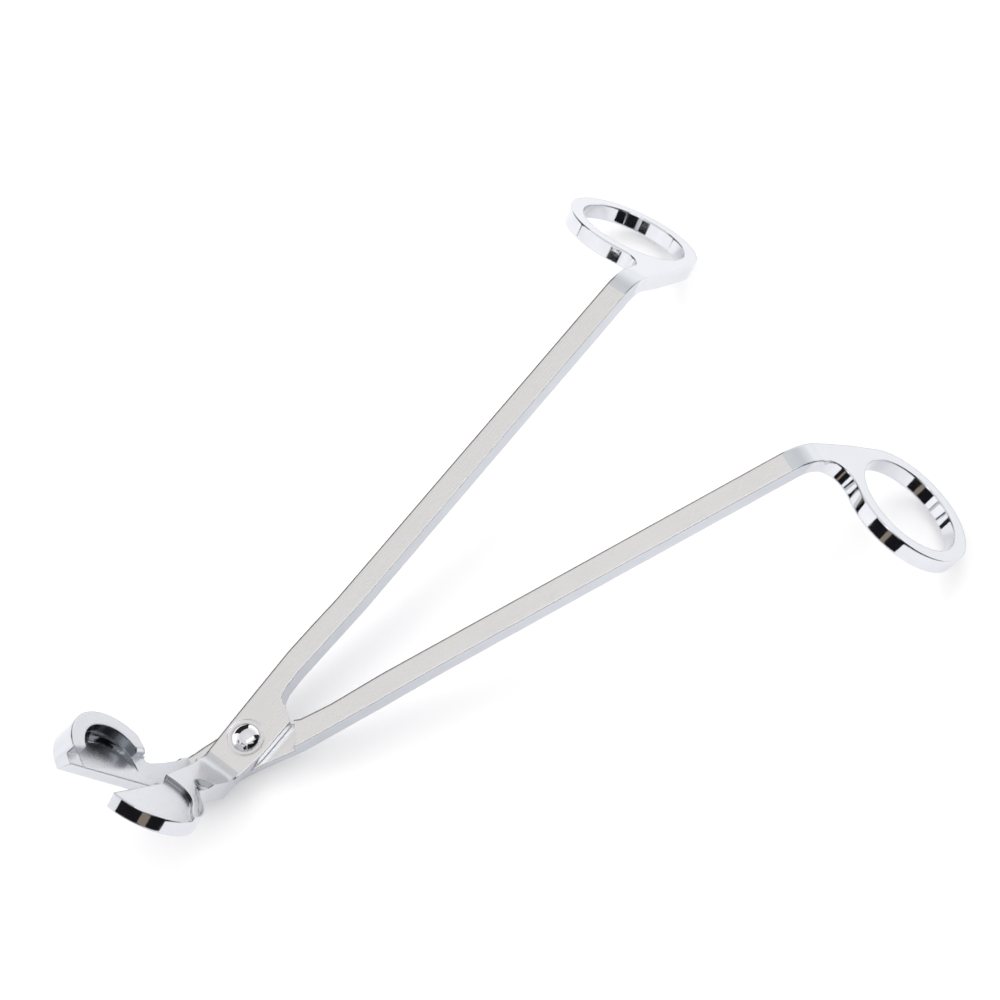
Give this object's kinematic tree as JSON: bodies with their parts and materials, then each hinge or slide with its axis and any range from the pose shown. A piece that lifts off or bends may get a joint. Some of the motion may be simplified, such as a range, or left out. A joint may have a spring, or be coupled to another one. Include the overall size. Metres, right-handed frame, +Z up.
{
  "type": "wick trimmer",
  "caption": "Polished metal candle wick trimmer: scissor-type tool with a half-disc blade that passes a cup-shaped tray, and finger rings dropped below the arms.",
  "frame": {"origin": "middle of the footprint of the tool as it lies, on the surface it rests on", "axes": "+X from the cutting head towards the finger rings, +Z up from the surface, +Y towards the blade half's arm"},
  "size_m": [0.1769, 0.1126, 0.0313],
  "materials": {
    "blade_metal": "polished sides, satin upper faces",
    "tray_metal": "polished sides, satin upper faces",
    "rivet_metal": "mirror polished"
  },
  "bodies": {
    "tray_side": {"tray_half": "tray_metal", "pivot_rivet": "rivet_metal"},
    "blade_side": {"blade_half": "blade_metal"}
  },
  "joints": [
    {"name": "blade_pivot", "type": "hinge", "parent": "tray_side", "child": "blade_side", "pos_m": [-0.05267, 0.00101, 0.00462], "axis": [-0.1789, 0, 0.9839], "range_deg": [-23, 20]}
  ]
}
